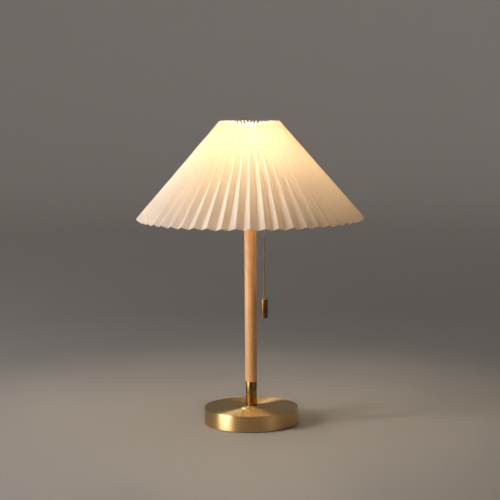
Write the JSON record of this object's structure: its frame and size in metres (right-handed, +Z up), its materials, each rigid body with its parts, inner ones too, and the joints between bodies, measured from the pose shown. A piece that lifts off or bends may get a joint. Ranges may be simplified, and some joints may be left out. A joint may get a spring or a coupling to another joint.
{
  "type": "table lamp",
  "caption": "Table lamp with a pleated cone shade, wooden stem, round weighted brass base and a ball-chain pull switch.",
  "frame": {"origin": "centre of the pad's underside, on the surface that the lamp stands on", "axes": "+Z up the stem, -Y towards the front, +X to the right; the supply cord enters the base at +Y"},
  "size_m": [0.3, 0.3, 0.402],
  "materials": {
    "brass": "satin, clear lacquered brass",
    "dark_brass": "dark aged brass",
    "beech": "oiled natural beech",
    "pleated_fabric": "matt off-white laminated fabric",
    "foam_pad": "matt black foam rubber",
    "cast_iron": "rough, black primed",
    "zinc_steel": "bright zinc plated",
    "white_wire": "white powder coat",
    "black_plastic": "black moulded thermoset",
    "white_plastic": "white nylon",
    "brown_sleeve": "brown lead insulation",
    "blue_sleeve": "blue lead insulation",
    "liner_board": "pressed insulating board",
    "porcelain": "white glazed porcelain",
    "bulb_glass": "opal glass",
    "filament": "yellow phosphor sticks, lit",
    "black_glass": "black vitrite"
  },
  "bodies": {
    "stand": {"base_cover": "brass", "base_weight": "cast_iron", "base_pad": "foam_pad", "cord_bushing": "black_plastic", "base_rosette": "brass", "pipe_washer": "zinc_steel", "pipe_nut": "zinc_steel", "terminal_block": "white_plastic", "terminal_screws": "zinc_steel", "live_lead": "brown_sleeve", "neutral_lead": "blue_sleeve", "lamp_pipe": "zinc_steel", "ferrule": "brass", "stem": "beech", "stem_cap": "brass", "top_nut": "zinc_steel", "holder_cap": "brass", "holder_shell": "brass", "holder_liner": "liner_board", "switch_box": "black_plastic", "drum_axle": "zinc_steel", "return_spring": "zinc_steel", "switch_contacts": "dark_brass", "holder_core": "porcelain", "screw_shell": "dark_brass", "contact_screws": "zinc_steel", "centre_contact": "dark_brass", "chain_guide": "brass"},
    "drum": {"pull_drum": "white_plastic"},
    "pull_link": {"pull_link": "dark_brass"},
    "coupling": {"chain_coupling": "dark_brass"},
    "pull": {"pull_chain": "dark_brass", "pull_knob": "dark_brass", "knob_pin": "zinc_steel"},
    "bulb": {"bulb_glass": "bulb_glass", "bulb_cap": "zinc_steel", "bulb_insulator": "black_glass", "bulb_contact": "zinc_steel", "bulb_stem": "bulb_glass", "bulb_filaments": "filament"},
    "shade": {"shade_fabric": "pleated_fabric", "top_ring": "white_wire", "middle_ring": "white_wire", "frame_arms": "white_wire", "fitter_ring": "white_wire"},
    "ring_nut": {"shade_ring": "white_plastic"}
  },
  "joints": [
    {"name": "chain_pull", "type": "slide", "parent": "stand", "child": "pull_link", "axis": [0, 0, -1], "range_m": [0, 0.009], "stiffness_N_per_m": 300, "springref_m": -0.004},
    {"name": "drum_turn", "type": "hinge", "parent": "stand", "child": "drum", "pos_m": [0, 0, 0.29327], "axis": [0.6691, 0.7431, 0], "range_deg": [0, 91]},
    {"name": "chain_swing_out", "type": "hinge", "parent": "pull_link", "child": "coupling", "pos_m": [0.01784, -0.01606, 0.286], "axis": [0.6691, 0.7431, 0], "range_deg": [-30, 4]},
    {"name": "chain_swing_side", "type": "hinge", "parent": "coupling", "child": "pull", "pos_m": [0.01784, -0.01606, 0.277], "axis": [0.7431, -0.6691, 0], "range_deg": [-30, 30]},
    {"name": "bulb_unscrew", "type": "slide", "parent": "stand", "child": "bulb", "axis": [0, 0, 1], "range_m": [0, 0.026]},
    {"name": "shade_turn", "type": "hinge", "parent": "stand", "child": "shade", "pos_m": [0, 0, 0.331], "axis": [0, 0, 1], "continuous": true},
    {"name": "ring_unscrew", "type": "slide", "parent": "stand", "child": "ring_nut", "axis": [0, 0, 1], "range_m": [0, 0.006]}
  ],
  "couplings": [
    {"joint": "drum_turn", "follows": "chain_pull", "rad_per_m": 174.52}
  ]
}
